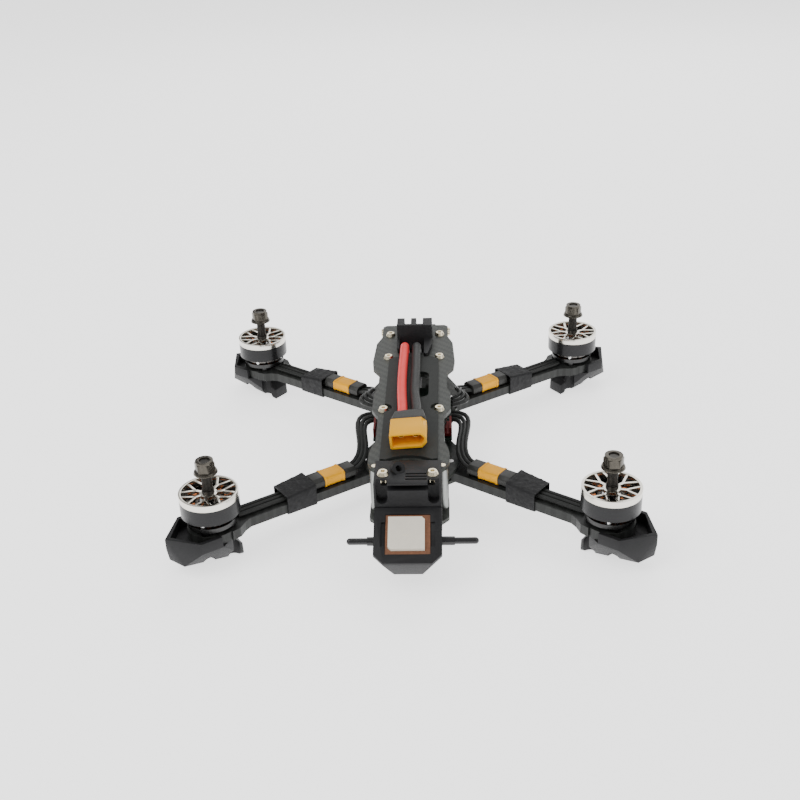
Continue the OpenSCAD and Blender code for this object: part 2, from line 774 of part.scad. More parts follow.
module gps_patch()
    color([0.93, 0.87, 0.74])
    in_cradle() translate([-0.6, 0, gps_board_t]) {
        h = gps_patch_w / 2;
        c = 1.4;
        linear_extrude(gps_patch_t) polygon([
            [-h, h], [h - c, h], [h, h - c], [h, -h], [-h + c, -h], [-h, -h + c]
        ]);
        rod(1.3, gps_patch_t, gps_patch_t + 0.3);
    }

// Cross-shaped receiver antenna through the cradle
module receiver_antenna()
    color([0.03, 0.03, 0.03])
    translate([0, dipole_y, dipole_z]) rotate([0, 90, 0]) {
        rod(collar_r, -19, 21.5);
        rod(dipole_r, -27, 31);
        translate([0, 0, -27]) sphere(dipole_r);
        translate([0, 0, 31]) sphere(dipole_r);
    }

// Battery leads and plug
module battery_lead_red()
    color([0.9, 0.25, 0.24]) sweep(red_route, lead_d / 2, 12, [1, 0, 0]);

module battery_lead_black()
    color([0.1, 0.1, 0.1]) sweep(black_route, lead_d / 2, 12, [1, 0, 0]);

// Plug section, cut at the two corners of its right side
module plug_outline(w, h, c)
    polygon([[-w / 2, -h / 2], [w / 2 - c, -h / 2], [w / 2, -h / 2 + c], [w / 2, h / 2 - c],
             [w / 2 - c, h / 2], [-w / 2, h / 2]]);

module on_plug(y)
    translate([plug_x, y, plug_z]) rotate([0, -plug_roll, 0]) rotate([90, 0, 0]) children();

module plug_housing()
    color([0.95, 0.72, 0.25])
    difference() {
        on_plug(plug_nose_y) linear_extrude(plug_l) plug_outline(plug_w, plug_h, 2);
        on_plug(plug_open_y + plug_deep) linear_extrude(plug_deep + 1)
            plug_outline(plug_w - 2 * plug_wall, plug_h - 2 * plug_wall, 1.6);
        for (s = [-1, 1]) on_plug(plug_nose_y + 1) translate([s * pin_x, 0, 0]) rod(pin_r + 0.02, 0, plug_l);
    }

module plug_cap()
    color([0.42, 0.43, 0.42])
    difference() {
        hull() {
            on_plug(plug_nose_y + 0.6) linear_extrude(0.6) plug_outline(plug_w - 0.8, plug_h - 0.6, 1.8);
            on_plug(plug_cap_y) linear_extrude(1) plug_outline(plug_w - 3.4, lead_d + 1.8, 1.8);
        }
        for (s = [-1, 1]) on_plug(plug_cap_y + 1) translate([s * pin_x, 0, 0])
            rod(lead_d / 2 + 0.05, 0, 1 + cap_socket);
    }

module plug_pins()
    color([0.85, 0.68, 0.3])
    for (s = [-1, 1]) on_plug(plug_nose_y) translate([s * pin_x, 0, 0]) rod(pin_r, 0, plug_l - pin_recess);

// Connectors lying on the arms
module conn_section(w, h)
    translate([0, h / 2]) rounded(1.6) square([w, h], center = true);

module along_arm(q)
    translate([q - arm_len, 0, arm_top + fit]) rotate([90, 0, 90]) children();

module motor_connectors()
    color([0.96, 0.72, 0.2])
    for (q = ARMS) on_arm(q) {
        along_arm(conn_mid) linear_extrude(conn_l) conn_section(conn_w, conn_h);
    }

module connector_caps()
    color([0.2, 0.21, 0.21])
    for (q = ARMS) on_arm(q) {
        along_arm(conn_near) linear_extrude(conn_cap) conn_section(conn_w - 0.4, conn_h - 0.3);
        along_arm(conn_far) linear_extrude(conn_cap) conn_section(conn_w - 0.4, conn_h - 0.3);
    }

// Wound sleeve round an arm and its motor wires, tallest at the connector
sleeve_wall = 0.9;
module sleeve_section(high)
    rotate([90, 0, 90]) linear_extrude(1) polygon([
        [-arm_w / 2 - sleeve_wall, arm_z - sleeve_wall], [arm_w / 2 + sleeve_wall, arm_z - sleeve_wall],
        [arm_w / 2 + sleeve_wall, arm_top + 0.6], [conn_w / 2 - 0.2, high], [-conn_w / 2 + 0.2, high],
        [-arm_w / 2 - sleeve_wall, arm_top + 0.6]
    ]);

module arm_sleeves()
    color([0.05, 0.05, 0.05])
    for (q = ARMS) on_arm(q) translate([conn_end + 0.3 - arm_len, 0, 0])
    difference() {
        hull() {
            sleeve_section(arm_top + conn_h);
            translate([sleeve_end - conn_end - 1, 0, 0]) sleeve_section(arm_top + wire_d + 1.3);
        }
        block([-1, -arm_w / 2 - fit, arm_z - fit], [sleeve_end, arm_w / 2 + fit, arm_top + fit]);
        block([-1, -2.9 - wire_d / 2 - fit, arm_z],
              [sleeve_end, 2.9 + wire_d / 2 + fit, arm_top + wire_d + 3 * fit]);
    }

// Three wires from each motor to its connector
module motor_wires()
    color([0.07, 0.07, 0.07])
    for (q = ARMS, k = [-1 : 1]) on_arm(q) {
        z = arm_top + wire_d / 2 + fit;
        far = conn_end - arm_len;
        sweep([[far, k * 2.9, z], [far / 2, k * 2.9, z], [-15, k * 2.9, z], [-12.6, k * 2.6, z]],
              wire_d / 2, 8, [0, 0, 1]);
    }

// Three wires from each connector to the speed controller
module phase_wires()
    color([0.07, 0.07, 0.07])
    for (q = ARMS, k = [-1 : 1]) quarter(q) {
        z = arm_top + fit + conn_h / 2;
        rear = q[1] < 0;
        pad_y = rear ? -rear_pads_y : front_pads_y;
        a = arm_point(conn_near, k * 2.7, z);
        b = arm_point(conn_near - 17, k * 2.7, z + 5);
        d = [esc_w / 2 + 0.2, pad_y + k * pad_pitch, esc_top + wire_d / 2 + 0.7];
        c = d + [16 - 4 * k, 5 + k, 2];
        sweep(bezier(a, b, c, d, 12), wire_d / 2, 8, [0, 0, 1]);
    }

// Feet: a cup round the end of each arm over a keel that narrows and deepens inwards
keel_x = -12;
keel_slope = 12.8;
keel_half_w = 5;
module foot_outline(inset)
    polygon([
        [1.5, -foot_half_w + inset], [12.2, -foot_half_w + inset], [foot_reach - 1.4 * inset, 0],
        [12.2, foot_half_w - inset], [1.5, foot_half_w - inset]
    ]);

module foot_body()
    hull() {
        translate([0, 0, arm_z]) linear_extrude(arm_t + 0.6) foot_outline(0);
        translate([keel_x, 0, ground_z]) rotate([0, -keel_slope, 0]) linear_extrude(1) polygon([
            [0, -keel_half_w], [foot_reach - keel_x - 4, -8.5], [foot_reach - keel_x, 0],
            [foot_reach - keel_x - 4, 8.5], [0, keel_half_w]
        ]);
        block([keel_x, -keel_half_w, ground_z + 1], [keel_x + 1, keel_half_w, ground_z + 6]);
    }

module feet()
    color([0.05, 0.05, 0.05])
    for (q = ARMS) on_arm(q)
    difference() {
        foot_body();
        translate([0, 0, arm_z]) linear_extrude(arm_t + 5) foot_outline(foot_wall);
        block([-30, -foot_half_w - 1, arm_z], [1.4, foot_half_w + 1, arm_top + 5]);
        block([-30, -arm_w / 2 - fit, arm_z], [10, arm_w / 2 + fit, arm_top + 5]);
        rod(pad_r + fit, arm_z, arm_top + 5);
        motor_screw_places() rod(m3_hole, arm_z - 3, arm_top);
        for (a = [45 : 90 : 315]) rotate(a) translate([motor_bolt_r, 0, 0])
            rod(head_r + 0.3, ground_z - 1, cos(a) > 0 ? arm_z - 1.5 : arm_z + 1);
    }

// Motor bases with a tube for the bearings
module motor_bases()
    color([0.1, 0.1, 0.1])
    for (q = ARMS) on_arm(q)
    difference() {
        union() {
            rod(motor_bolt_r + 2.4, base_low, base_high);
            rod(hub_r, base_low, can_high - 1.6);
            motor_screw_places() rod(2.3, arm_top, base_low + 0.1);
        }
        motor_screw_places() rod(m3_hole, arm_top - 1, base_high + 1);
        for (k = [0 : 3]) rotate(90 * k) translate([8.6, 0, 0]) rod(2, base_low - 1, base_high + 1);
        rod(bearing_r, base_low + 0.6, can_high + 1);
        rod(shaft_r + 0.8, base_low - 1, can_high + 1);
    }

stator_low = base_high + 0.9;
stator_high = can_high - 1.9;
module stator_cores()
    color([0.25, 0.25, 0.27])
    for (q = ARMS) on_rotor(q)
    difference() {
        rod(stator_r, stator_low, stator_high);
        rod(hub_r + 0.02, stator_low - 1, stator_high + 1);
        for (k = [0 : 11]) rotate(30 * k + 15) {
            block([6.6, -1.05, stator_low - 1], [stator_r - 1.6, 1.05, stator_high + 1]);
            block([stator_r - 1.7, -0.4, stator_low - 1], [stator_r + 1, 0.4, stator_high + 1]);
        }
    }

module stator_windings()
    color([0.55, 0.27, 0.14])
    for (q = ARMS) on_rotor(q)
    for (k = [0 : 11]) rotate(30 * k) {
        block([7.4, -1.5, stator_high], [stator_r - 1.7, 1.5, stator_high + 0.9]);
        block([7.4, -1.5, stator_low - 0.6], [stator_r - 1.7, 1.5, stator_low]);
    }

module motor_bearings()
    color([0.75, 0.76, 0.78])
    for (q = ARMS) on_rotor(q) {
        tube(bearing_r, shaft_r + shaft_gap, base_low + 0.6, base_low + 0.6 + bearing_h);
        tube(bearing_r, shaft_r + shaft_gap, can_high - 1.6 - bearing_h, can_high - 1.6);
    }

// Rotor pieces
module bell_spokes() {
    split_r = 8.4;
    circle(4.4);
    for (k = [0 : spokes - 1]) rotate(360 * k / spokes) {
        polygon([[3, -0.9], [split_r + 0.2, -1], [split_r + 0.2, 1], [3, 0.9]]);
        for (s = [-1, 1])
            polygon([[split_r - 0.8, s * 1], [split_r + 0.9, -s * 0.1], [rotor_r - 0.7, s * 2.4],
                     [rotor_r - 0.7, s * 4]]);
    }
}

// Section of the spokes, low at the hub and high at the rim
module dish()
    rotate_extrude() polygon([
        [0, crown_z - 2], [6, crown_z - 1.9], [rotor_r + 1, rim_z - 2], [rotor_r + 1, rim_z - 0.3],
        [6, crown_z + 0.1], [0, crown_z]
    ]);

module bell(q)
    color([0.86, 0.85, 0.82])
    on_rotor(q)
    difference() {
        union() {
            tube(rotor_r, rotor_r - ring_w, can_high, rim_z);
            intersection() {
                translate([0, 0, can_high]) linear_extrude(bell_h) bell_spokes();
                dish();
            }
            rod(4.4, crown_z - 2.4, crown_z + 0.4);
        }
        rod(shaft_r, can_high - 1, rim_z + 1);
    }

module can(q)
    color([0.1, 0.1, 0.1])
    on_rotor(q) tube(rotor_r, rotor_r - can_wall, can_low, can_high);

module shaft(q)
    color([0.22, 0.22, 0.23])
    on_rotor(q) {
        rod(shaft_r, shaft_low, crown_z + 0.4);
        rod(3, crown_z + 0.4, crown_z + 2.2);
        rod(thread_r, crown_z + 2.2, nut_z + nut_h - 0.6);
    }

module prop_nut(q)
    color([0.3, 0.3, 0.28])
    on_rotor(q) translate([0, 0, nut_z])
    difference() {
        union() {
            cylinder(r1 = nut_flange_r, r2 = nut_flange_r - 0.5, h = 1.2);
            cylinder(r = nut_hex_r, h = nut_h - 1.2, $fn = 6);
            rod(nut_hex_r * 0.88, 0, nut_h);
        }
        rod(thread_r, -1, nut_h + 1);
    }

bottom_plate();
mid_plate();
top_plate();
arm(ARMS[0]);  // arm_front_right
arm(ARMS[1]);  // arm_front_left
arm(ARMS[2]);  // arm_rear_left
arm(ARMS[3]);  // arm_rear_right
camera_side_plates();
standoffs();
top_screws();
underside_screws();
battery_pad();
stack_screws();
stack_dampers();
esc_board();
esc_mosfets();
esc_heat_sink();
esc_capacitor();
flight_controller();
stack_cable();
video_transmitter();
radio_receiver();
fpv_camera();
fpv_lens();
action_camera_fork();
rear_mount();
gps_board();
gps_patch();
receiver_antenna();
battery_lead_red();
battery_lead_black();
plug_housing();
plug_cap();
plug_pins();
motor_connectors();
connector_caps();
arm_sleeves();
motor_wires();
phase_wires();
feet();
motor_bases();
stator_cores();
stator_windings();
motor_bearings();
bell(ARMS[0]);  // bell_front_right
can(ARMS[0]);  // can_front_right
shaft(ARMS[0]);  // shaft_front_right
prop_nut(ARMS[0]);  // prop_nut_front_right
bell(ARMS[1]);  // bell_front_left
can(ARMS[1]);  // can_front_left
shaft(ARMS[1]);  // shaft_front_left
prop_nut(ARMS[1]);  // prop_nut_front_left
bell(ARMS[2]);  // bell_rear_left
can(ARMS[2]);  // can_rear_left
shaft(ARMS[2]);  // shaft_rear_left
prop_nut(ARMS[2]);  // prop_nut_rear_left
bell(ARMS[3]);  // bell_rear_right
can(ARMS[3]);  // can_rear_right
shaft(ARMS[3]);  // shaft_rear_right
prop_nut(ARMS[3]);  // prop_nut_rear_right
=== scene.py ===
import math
import bpy
from mathutils import Matrix, Vector


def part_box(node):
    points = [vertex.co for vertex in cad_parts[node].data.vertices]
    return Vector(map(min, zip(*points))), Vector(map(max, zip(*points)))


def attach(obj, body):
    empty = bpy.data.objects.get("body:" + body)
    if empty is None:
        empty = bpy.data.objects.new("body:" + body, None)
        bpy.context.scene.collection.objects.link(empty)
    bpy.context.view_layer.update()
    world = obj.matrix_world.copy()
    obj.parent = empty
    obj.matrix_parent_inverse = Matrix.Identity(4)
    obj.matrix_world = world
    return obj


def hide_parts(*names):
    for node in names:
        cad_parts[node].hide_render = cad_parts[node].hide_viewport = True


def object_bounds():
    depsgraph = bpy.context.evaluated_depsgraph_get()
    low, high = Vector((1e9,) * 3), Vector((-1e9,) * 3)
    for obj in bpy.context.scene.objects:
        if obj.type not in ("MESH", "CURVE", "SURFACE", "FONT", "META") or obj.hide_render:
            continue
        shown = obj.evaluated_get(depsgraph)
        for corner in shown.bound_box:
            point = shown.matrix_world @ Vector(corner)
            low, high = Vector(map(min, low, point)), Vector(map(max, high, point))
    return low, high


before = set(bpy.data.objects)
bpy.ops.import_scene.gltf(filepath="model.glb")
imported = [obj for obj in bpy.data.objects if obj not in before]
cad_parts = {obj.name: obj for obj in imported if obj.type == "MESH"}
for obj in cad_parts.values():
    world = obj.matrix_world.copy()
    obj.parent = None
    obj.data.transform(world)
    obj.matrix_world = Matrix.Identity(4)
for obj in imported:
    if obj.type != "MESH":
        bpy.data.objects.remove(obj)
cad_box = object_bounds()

# Studio: a camera behind the tail and above it, a pale floor under the feet
# and three broad soft lights round the frame.
mm = 0.001
camera_place = Vector((20.69, -527.41, 303.41)) * mm
yaw, pitch, roll = -0.05231, 0.48341, -0.03996
forward = Vector((
    math.sin(yaw) * math.cos(pitch), math.cos(yaw) * math.cos(pitch), -math.sin(pitch),
))
level = Vector((math.cos(yaw), -math.sin(yaw), 0))
upright = level.cross(forward)
right = level * math.cos(roll) + upright * math.sin(roll)
up = upright * math.cos(roll) - level * math.sin(roll)
lens = bpy.data.cameras.new("camera")
lens.sensor_width = 36
lens.lens = 49.4964
lens.clip_start = 0.01
lens.clip_end = 20
camera = bpy.data.objects.new("camera", lens)
camera.matrix_world = Matrix((right, up, -forward)).transposed().to_4x4()
camera.location = camera_place
bpy.context.scene.collection.objects.link(camera)
bpy.context.scene.camera = camera

ground = cad_box[0][2]
bpy.ops.object.select_all(action="DESELECT")
bpy.ops.mesh.primitive_plane_add(size=40, location=(0, 0, ground))
floor = bpy.context.object
floor.name = "floor"
paint = bpy.data.materials.new("floor_paper")
paint.use_nodes = True
paper = paint.node_tree.nodes["Principled BSDF"].inputs
paper["Base Color"].default_value = (0.93, 0.93, 0.93, 1)
paper["Roughness"].default_value = 0.9
paper["Emission Color"].default_value = (1, 1, 1, 1)
paper["Emission Strength"].default_value = 1.5
paper["Specular IOR Level"].default_value = 0.1
floor.data.materials.append(paint)

for name, place, watts, width in [
    ("key_light", (-0.7, -0.5, 1.1), 9, 0.9),
    ("fill_light", (0.9, -0.5, 0.8), 4, 1.0),
    ("back_light", (0.2, 1.0, 0.9), 7, 1.2),
]:
    glow = bpy.data.lights.new(name, "AREA")
    glow.energy = watts
    glow.size = width
    lamp = bpy.data.objects.new(name, glow)
    lamp.location = place
    lamp.rotation_euler = (-Vector(place)).to_track_quat("-Z", "Y").to_euler()
    bpy.context.scene.collection.objects.link(lamp)
sky = bpy.data.worlds.new("studio")
bpy.context.scene.world = sky
sky.use_nodes = True
sky.node_tree.nodes["Background"].inputs[0].default_value = (1, 1, 1, 1)
sky.node_tree.nodes["Background"].inputs[1].default_value = 0.55

# Battery leads: soft silicone-covered stranded wire, red and black, soldered to
# the speed controller's pads. They rise at the nose and run back over the top plate.
def material(name, colour, rough, metal=0.0, **more):
    """A finish with cloudy colour, uneven gloss and a fine grain in relief."""
    finish = bpy.data.materials.new(name)
    finish.use_nodes = True
    nodes, links = finish.node_tree.nodes, finish.node_tree.links
    shader = nodes["Principled BSDF"]
    where = nodes.new("ShaderNodeTexCoord").outputs["Object"]
    stretch = nodes.new("ShaderNodeMapping")
    stretch.inputs["Scale"].default_value = more.get("stretch", (1, 1, 1))
    links.new(where, stretch.inputs["Vector"])

    def noise(scale, detail):
        cloud = nodes.new("ShaderNodeTexNoise")
        cloud.inputs["Scale"].default_value = scale
        cloud.inputs["Detail"].default_value = detail
        links.new(stretch.outputs["Vector"], cloud.inputs["Vector"])
        return cloud.outputs["Fac"]

    def blend(factor, first, second):
        mix = nodes.new("ShaderNodeMix")
        mix.data_type = "RGBA"
        mix.inputs["A"].default_value = (*first, 1)
        mix.inputs["B"].default_value = (*second, 1)
        links.new(factor, mix.inputs["Factor"])
        return mix

    def spread(value, low, high, low_out, high_out):
        steps = nodes.new("ShaderNodeMapRange")
        for k, v in enumerate((low, high, low_out, high_out)):
            steps.inputs[k + 1].default_value = v
        links.new(value, steps.inputs[0])
        return steps.outputs["Result"]

    mottle = more.get("mottle", 0.12)
    tone = blend(noise(more.get("cloud", 140), 3), [c * (1 - mottle) for c in colour],
                 [min(1, c * (1 + mottle)) for c in colour])
    grain = noise(more.get("grain", 2600), 4)
    relief = grain
    if "weave" in more:
        parts = nodes.new("ShaderNodeSeparateXYZ")
        turned = nodes.new("ShaderNodeMapping")
        turned.inputs["Rotation"].default_value = (0, 0, more.get("turn", 0))
        links.new(where, turned.inputs["Vector"])
        links.new(turned.outputs["Vector"], parts.inputs["Vector"])

        def compute(kind, a, b):
            node = nodes.new("ShaderNodeMath")
            node.operation = kind
            for k, v in enumerate((a, b)):
                if isinstance(v, float):
                    node.inputs[k].default_value = v
                elif v is not None:
                    links.new(v, node.inputs[k])
            return node.outputs[0]

        across = compute("MULTIPLY", parts.outputs["X"], 1 / more["weave"])
        along = compute("MULTIPLY", parts.outputs["Y"], 1 / more["weave"])
        step = compute("ADD", compute("FLOOR", across, None), compute("FLOOR", along, None))
        over = compute("LESS_THAN", compute("FLOORED_MODULO", step, 4.0), 2.0)
        # Alternate tows are painted lighter by sheen_tow: this is painted sheen, the twill's reflection
        # baked into the base colour.
        light = [min(1, c * more.get("sheen_tow", 1.5)) for c in colour]
        tow = blend(over, colour, light)
        bright = nodes.new("ShaderNodeMix")
        bright.data_type = "RGBA"
        bright.inputs["Factor"].default_value = 0.5
        links.new(tow.outputs["Result"], bright.inputs["A"])
        links.new(tone.outputs["Result"], bright.inputs["B"])
        links.new(bright.outputs["Result"], shader.inputs["Base Color"])
        relief = compute("ADD", compute("MULTIPLY", over, 0.6), grain)
    else:
        links.new(tone.outputs["Result"], shader.inputs["Base Color"])
    if "layers" in more:
        bands = nodes.new("ShaderNodeTexWave")
        bands.bands_direction = "Z"
        bands.inputs["Scale"].default_value = 0.314 / more["layers"]
        bands.inputs["Distortion"].default_value = 0.6
        links.new(where, bands.inputs["Vector"])
        relief = bands.outputs["Fac"]
    uneven = more.get("uneven", 0.1)
    links.new(spread(grain, 0.3, 0.7, max(0.02, rough - uneven), min(1, rough + uneven)),
              shader.inputs["Roughness"])
    bump = nodes.new("ShaderNodeBump")
    bump.inputs["Strength"].default_value = more.get("relief", 0.15)
    bump.inputs["Distance"].default_value = more.get("height", 0.0001)
    links.new(relief, bump.inputs["Height"])
    links.new(bump.outputs["Normal"], shader.inputs["Normal"])
    shader.inputs["Metallic"].default_value = metal
    shader.inputs["Coat Weight"].default_value = more.get("coat", 0.0)
    shader.inputs["Coat Roughness"].default_value = 0.15
    shader.inputs["Specular IOR Level"].default_value = more.get("gloss", 0.25)
    return finish


def dress(piece, finish):
    piece.data.materials.clear()
    piece.data.materials.append(finish)


def wear(finish, *names):
    for name in names:
        dress(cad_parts[name], finish)


def points(route):
    return [Vector(place) * mm for place in route]


red_route = points([
    (-5.3, 23, 17), (-5.3, 29, 16.4), (-5.3, 34, 15.8), (-5.3, 38.6, 15.4), (-5.3, 42.3, 15.2),
    (-5.3, 46.4, 16), (-5.3, 49.9, 18.4), (-5.3, 52.3, 21.9), (-5.3, 53.1, 26), (-5.3, 52.3, 30.2),
    (-5.3, 49.9, 33.9), (-5.3, 46.4, 36.4), (-5.3, 42.3, 37.2), (-5.3, 35, 37.3), (-5.4, 26, 37.3),
    (-5.5, 17, 37.3), (-5.5, 8, 37.3), (-5.4, -2, 37.3), (-5.1, -12, 37.4), (-4.7, -21, 37.9),
    (-4.2, -30, 38.6), (-3.9, -38, 39), (-3.9, -44, 39),
])
black_route = points([
    (1.5, 23, 17), (1.5, 29, 16.4), (1.5, 34, 15.8), (1.5, 38.6, 15.4), (1.5, 42.3, 15.2),
    (1.5, 46.4, 16), (1.5, 49.9, 18.4), (1.5, 52.3, 21.9), (1.5, 53.1, 26), (1.5, 52.3, 30.2),
    (1.5, 49.9, 33.9), (1.5, 46.4, 36.4), (1.5, 42.3, 37.2), (1.5, 35, 37.3), (1.6, 26, 37.3),
    (1.7, 17, 37.3), (1.7, 8, 37.3), (1.6, -2, 37.3), (1.7, -12, 37.5), (2.2, -21, 38.1),
    (2.9, -30, 38.9), (3.3, -38, 39.5), (3.3, -44, 39.5),
])
lead_width = 5 * mm


def lead(name, route, finish):
    line = bpy.data.curves.new(name, "CURVE")
    line.dimensions = "3D"
    line.resolution_u = 6
    line.render_resolution_u = 6
    line.bevel_depth = lead_width / 2
    line.bevel_resolution = 7
    line.use_fill_caps = True
    run = line.splines.new("BEZIER")
    run.bezier_points.add(len(route) - 1)
    for knot, place in zip(run.bezier_points, route):
        knot.co = place
        knot.handle_left_type = knot.handle_right_type = "AUTO"
    piece = bpy.data.objects.new(name, line)
    bpy.context.scene.collection.objects.link(piece)
    piece.data.materials.append(finish)
    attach(piece, "airframe")
    return piece


red_silicone = material("red_silicone", (0.92, 0.055, 0.05), 0.42, mottle=0.08, grain=1500, relief=0.08)
black_silicone = material("black_silicone", (0.022, 0.023, 0.022), 0.45, mottle=0.25, grain=1500)
red_lead = lead("red_lead", red_route, red_silicone)
black_lead = lead("black_lead", black_route, black_silicone)
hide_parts("battery_lead_red")
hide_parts("battery_lead_black")

# Battery plug: a moulded amber nylon shell with two gilt brass sockets, and a dark
# grey cap clipped over the soldered joints. It lies on the top plate, tipped a little.
plug_place = Vector((-0.3, -41, 39.22)) * mm
plug_tip = math.radians(4)
plug_wide, plug_tall, plug_long, cap_long = 17.8 * mm, 8.2 * mm, 16 * mm, 10.5 * mm


def box(name, low, high):
    bpy.ops.object.select_all(action="DESELECT")
    bpy.ops.mesh.primitive_cube_add(size=1, location=[(a + b) / 2 for a, b in zip(low, high)])
    piece = bpy.context.object
    piece.name = name
    piece.scale = [b - a for a, b in zip(low, high)]
    bpy.ops.object.transform_apply(location=True, rotation=True, scale=True)
    return piece


def pick_faces(piece, test):
    bpy.ops.object.mode_set(mode="EDIT")
    bpy.ops.mesh.select_mode(type="FACE")
    bpy.ops.mesh.select_all(action="DESELECT")
    bpy.ops.object.mode_set(mode="OBJECT")
    for face in piece.data.polygons:
        face.select = test(face.center, face.normal)
    bpy.ops.object.mode_set(mode="EDIT")


def pick_edges(piece, test):
    bpy.ops.object.mode_set(mode="EDIT")
    bpy.ops.mesh.select_mode(type="EDGE")
    bpy.ops.mesh.select_all(action="DESELECT")
    bpy.ops.object.mode_set(mode="OBJECT")
    points = piece.data.vertices
    for edge in piece.data.edges:
        a, b = (points[k].co for k in edge.vertices)
        edge.select = test((a + b) / 2, (b - a).normalized())
    bpy.ops.object.mode_set(mode="EDIT")


def leave():
    bpy.ops.object.mode_set(mode="OBJECT")


def round_edges(piece, width, segments=2, angle=30):
    bpy.context.view_layer.objects.active = piece
    bevel = piece.modifiers.new("edge", "BEVEL")
    bevel.width = width
    bevel.segments = segments
    bevel.limit_method = "ANGLE"
    bevel.angle_limit = math.radians(angle)
    bpy.ops.object.modifier_apply(modifier=bevel.name)


def smooth(piece, angle=40):
    bpy.ops.object.select_all(action="DESELECT")
    piece.select_set(True)
    bpy.context.view_layer.objects.active = piece
    bpy.ops.object.shade_smooth_by_angle(angle=math.radians(angle))


def settle(piece, turn, place):
    bpy.ops.object.select_all(action="DESELECT")
    piece.select_set(True)
    bpy.context.view_layer.objects.active = piece
    piece.rotation_euler = turn
    piece.location = place
    bpy.ops.object.transform_apply(location=True, rotation=True, scale=True)


half, tall = plug_wide / 2, plug_tall / 2
mouth = -cap_long - plug_long
shell = box("plug_shell", (-half, mouth, -tall), (half, -cap_long, tall))
pick_edges(shell, lambda at, way: abs(way.y) > 0.9 and at.x > 0)
bpy.ops.mesh.bevel(offset=2.4 * mm, segments=1)
leave()
pick_edges(shell, lambda at, way: abs(way.y) > 0.9 and at.x < -half + 1e-5)
bpy.ops.mesh.bevel(offset=0.9 * mm, segments=3)
leave()
pick_faces(shell, lambda at, out: out.y < -0.9)
bpy.ops.mesh.inset(thickness=1.1 * mm)
bpy.ops.mesh.extrude_region_move(TRANSFORM_OT_translate={"value": (0, 11 * mm, 0)})
leave()
round_edges(shell, 0.22 * mm)
smooth(shell)
settle(shell, (0, -plug_tip, 0), plug_place)

cap_half, cap_tall = half - 0.2 * mm, tall - 0.05 * mm
cap = box("plug_cover", (-cap_half, -cap_long, -cap_tall), (cap_half, 0, cap_tall))
bpy.ops.object.mode_set(mode="EDIT")
bpy.ops.mesh.select_all(action="SELECT")
bpy.ops.mesh.subdivide(number_cuts=3)
leave()
for point in cap.data.vertices:
    rise = (point.co.y + cap_long) / cap_long
    point.co.x *= 1 - 0.17 * rise ** 1.4
    point.co.z *= 1 - 0.16 * rise ** 1.4
    point.co.y -= 1.4 * mm * rise * (point.co.x / half) ** 2
round_edges(cap, 0.9 * mm, 3, 50)
smooth(cap, 35)
settle(cap, (0, -plug_tip, 0), plug_place)

pins = []
for side, name in ((-1, "socket_red"), (1, "socket_black")):
    bpy.ops.object.select_all(action="DESELECT")
    bpy.ops.mesh.primitive_cylinder_add(
        vertices=32, radius=2 * mm, depth=9.4 * mm,
        rotation=(math.pi / 2, 0, 0), location=(side * 3.6 * mm, -cap_long - 4.8 * mm, 0),
    )
    pin = bpy.context.object
    pin.name = name
    bpy.ops.object.transform_apply(location=True, rotation=True, scale=True)
    pick_faces(pin, lambda at, out: out.y < -0.9)
    bpy.ops.mesh.inset(thickness=0.55 * mm)
    bpy.ops.mesh.extrude_region_move(TRANSFORM_OT_translate={"value": (0, 6 * mm, 0)})
    leave()
    round_edges(pin, 0.12 * mm)
    smooth(pin)
    settle(pin, (0, -plug_tip, 0), plug_place)
    pins.append(pin)

amber_plastic = material("amber_plastic", (0.95, 0.46, 0.01), 0.4, mottle=0.06, cloud=90, gloss=0.15)
grey_plastic = material("grey_plastic", (0.040, 0.041, 0.038), 0.5, mottle=0.3, cloud=300)
gilt_brass = material("gilt_brass", (0.83, 0.62, 0.27), 0.28, 1.0)
for piece, node, finish, slot in [
    (shell, "plug_housing", amber_plastic, "amber_plastic"),
    (cap, "plug_cap", grey_plastic, "grey_plastic"),
    (pins[0], "plug_pins", gilt_brass, "gilt_brass"),
    (pins[1], None, gilt_brass, "gilt_brass"),
]:
    dress(piece, finish)
    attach(piece, "airframe")
    if node:
        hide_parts(node)


# Frame plates and arms: cut from sheets of twill-woven carbon fibre in clear resin,
# with sanded edges, clamped together by the belly screws.
# The lighter alternate tows set by sheen_tow are painted sheen of the twill weave, not a colour of the
# fibre.
carbon = material("carbon", (0.030, 0.033, 0.029), 0.42, weave=1.5 * mm, turn=0.0, mottle=0.25,
                  cloud=260, relief=0.12, uneven=0.12, sheen_tow=1.9)
arm_carbon = material("arm_carbon", (0.018, 0.019, 0.018), 0.4, weave=1.5 * mm, turn=0.61, mottle=0.2,
                      relief=0.12, sheen_tow=1.8)
wear(carbon, "bottom_plate", "mid_plate", "top_plate", "camera_side_plates")
wear(arm_carbon, "arm_front_right", "arm_front_left", "arm_rear_left", "arm_rear_right")

# Screws: button heads with hex sockets, of gilt steel on top and plain bright steel
# below and in the stack. They clamp the plates, the arms and the motors.
gilt_steel = material("gilt_steel", (0.78, 0.70, 0.52), 0.26, 1.0, mottle=0.1, cloud=500)
bright_steel = material("bright_steel", (0.66, 0.66, 0.65), 0.3, 1.0, mottle=0.1, cloud=500)
wear(gilt_steel, "top_screws")
wear(bright_steel, "underside_screws", "stack_screws")

# Standoffs: six turned aluminium posts, tapped at both ends, between the mid plate
# and the top plate, with fine turning marks round them.
post_aluminium = material("post_aluminium", (0.30, 0.31, 0.30), 0.4, 1.0, stretch=(1, 1, 12),
                          mottle=0.1)
wear(post_aluminium, "standoffs")

